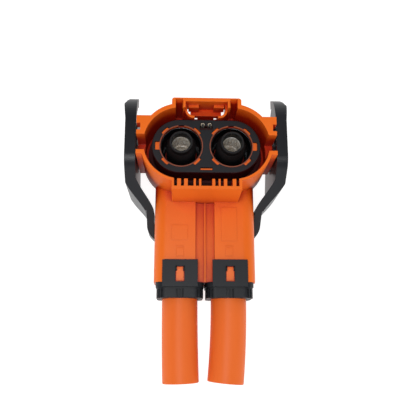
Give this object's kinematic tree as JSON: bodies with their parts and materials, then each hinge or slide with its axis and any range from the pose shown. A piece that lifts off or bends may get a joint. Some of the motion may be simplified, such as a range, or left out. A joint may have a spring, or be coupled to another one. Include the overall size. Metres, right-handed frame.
{
  "type": "high voltage connector",
  "caption": "Right-angle orange high voltage plug with round touch-guarded sockets, a black mating lever and shielded cables.",
  "frame": {"origin": "on the mating axis midway between the two contacts, at the flat back", "axes": "+X across the connector, +Z the mating direction, the cables leave along -Y"},
  "size_m": [0.0762, 0.1351, 0.0485],
  "materials": {
    "orange_plastic": "satin moulded, fine grain",
    "black_plastic": "satin moulded",
    "lever_plastic": "fine grain, satin",
    "guard_plastic": "smooth satin",
    "black_rubber": "matte",
    "seal_rubber": "matte",
    "silver_contact": "silver plated",
    "band_metal": "plated spring alloy",
    "gold_contact": "gold plated",
    "shield_metal": "tin plated, bright",
    "braid_metal": "woven tinned wire",
    "cable_orange": "satin extruded sheath",
    "insulation": "translucent white",
    "copper_strand": "cut copper strands"
  },
  "bodies": {
    "connector": {"housing": "orange_plastic", "rear_cover": "orange_plastic", "front_retainer": "black_plastic", "inner_carrier": "orange_plastic", "interface_seal": "black_rubber", "interlock_shunt": "gold_contact", "touch_guard_left": "guard_plastic", "terminal_left": "silver_contact", "contact_band_left": "band_metal", "shield_sleeve_left": "shield_metal", "cable_cap_left": "black_plastic", "cable_seal_left": "seal_rubber", "shield_ferrule_left": "shield_metal", "cable_sheath_left": "cable_orange", "cable_braid_left": "braid_metal", "cable_insulation_left": "insulation", "conductor_left": "copper_strand", "touch_guard_right": "guard_plastic", "terminal_right": "silver_contact", "contact_band_right": "band_metal", "shield_sleeve_right": "shield_metal", "cable_cap_right": "black_plastic", "cable_seal_right": "seal_rubber", "shield_ferrule_right": "shield_metal", "cable_sheath_right": "cable_orange", "cable_braid_right": "braid_metal", "cable_insulation_right": "insulation", "conductor_right": "copper_strand"},
    "lever": {"lever": "lever_plastic"}
  },
  "joints": [
    {"name": "lever_hinge", "type": "hinge", "parent": "connector", "child": "lever", "pos_m": [0, 0, 0.0275], "axis": [1, 0, 0], "range_deg": [0, 90]}
  ]
}
